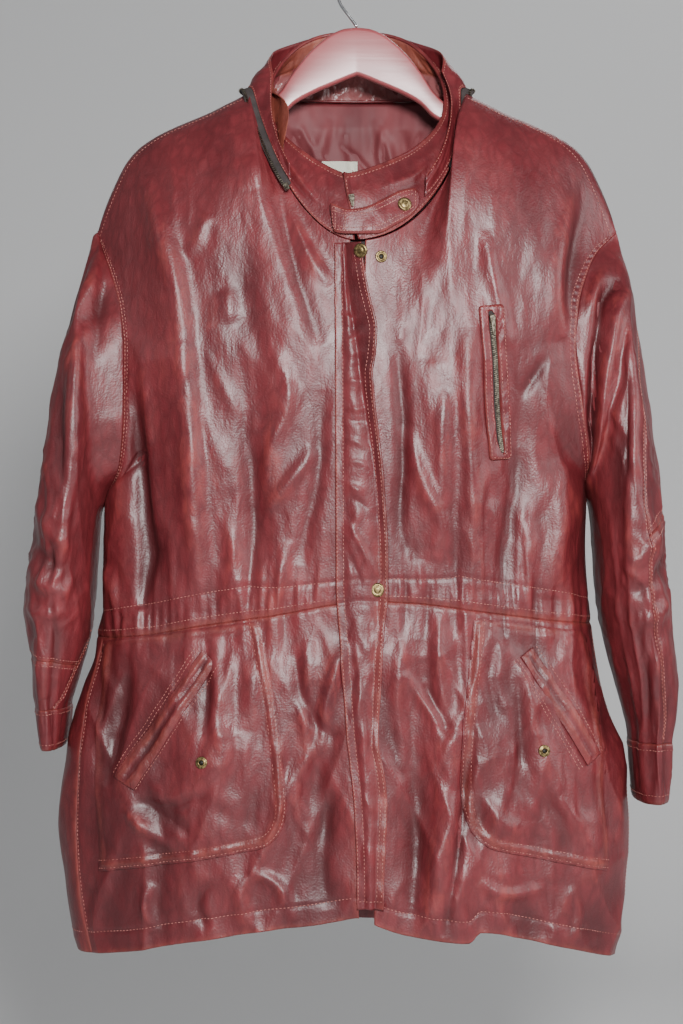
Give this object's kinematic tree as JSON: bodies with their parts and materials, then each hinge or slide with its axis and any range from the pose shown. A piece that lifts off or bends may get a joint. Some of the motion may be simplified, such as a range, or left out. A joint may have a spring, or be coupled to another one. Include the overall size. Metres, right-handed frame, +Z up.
{
  "type": "leather jacket on a hanger",
  "caption": "Thigh-length worn leather coat with a stand collar, storm flap, waist casing and patch pockets, open at neck, hem and cuffs, hung on a wooden hanger with a wire hook.",
  "frame": {"origin": "the point inside the top of the hanger's hook where it rests on a rail", "axes": "+Z up; the coat's front faces -Y; +X towards the wearer's left"},
  "size_m": [0.6773, 0.2029, 1.0362],
  "materials": {
    "leather": "worn burgundy leather, creased, half gloss",
    "tan_facing": "matt orange-brown leather",
    "satin_lining": "maroon satin",
    "label_cloth": "cream woven cloth, blank",
    "zip_tape": "dark grey woven tape with metal teeth",
    "aged_brass": "aged brass",
    "red_wood": "red-brown wood, gloss lacquer",
    "chrome_wire": "polished"
  },
  "bodies": {
    "root": {"front_right_upper": "leather", "front_left_upper": "leather", "front_right_lower": "leather", "front_left_lower": "leather", "back_upper": "leather", "back_lower": "leather", "back_lining": "satin_lining", "neck_label": "label_cloth", "front_flap": "leather", "front_zip": "zip_tape", "pocket_right": "leather", "pocket_left": "leather", "pocket_right_welt": "leather", "pocket_left_welt": "leather", "chest_welt": "leather", "chest_zip_tape": "zip_tape", "sleeve_right_inner": "leather", "sleeve_right_outer": "leather", "sleeve_right_lower": "leather", "sleeve_left_inner": "leather", "sleeve_left_outer": "leather", "sleeve_left_lower": "leather", "cuff_right": "leather", "cuff_left": "leather", "collar_stand": "leather", "collar_facing": "tan_facing", "collar_cover": "leather", "hood_zip_tape": "zip_tape", "throat_tab": "leather", "snap_tab_cap": "aged_brass", "snap_waist_cap": "aged_brass", "snap_top_cap": "aged_brass", "snap_top_socket": "aged_brass", "snap_pocket_right": "aged_brass", "snap_pocket_left": "aged_brass", "hanger_wood": "red_wood", "hanger_hook": "chrome_wire"}
  },
  "joints": []
}
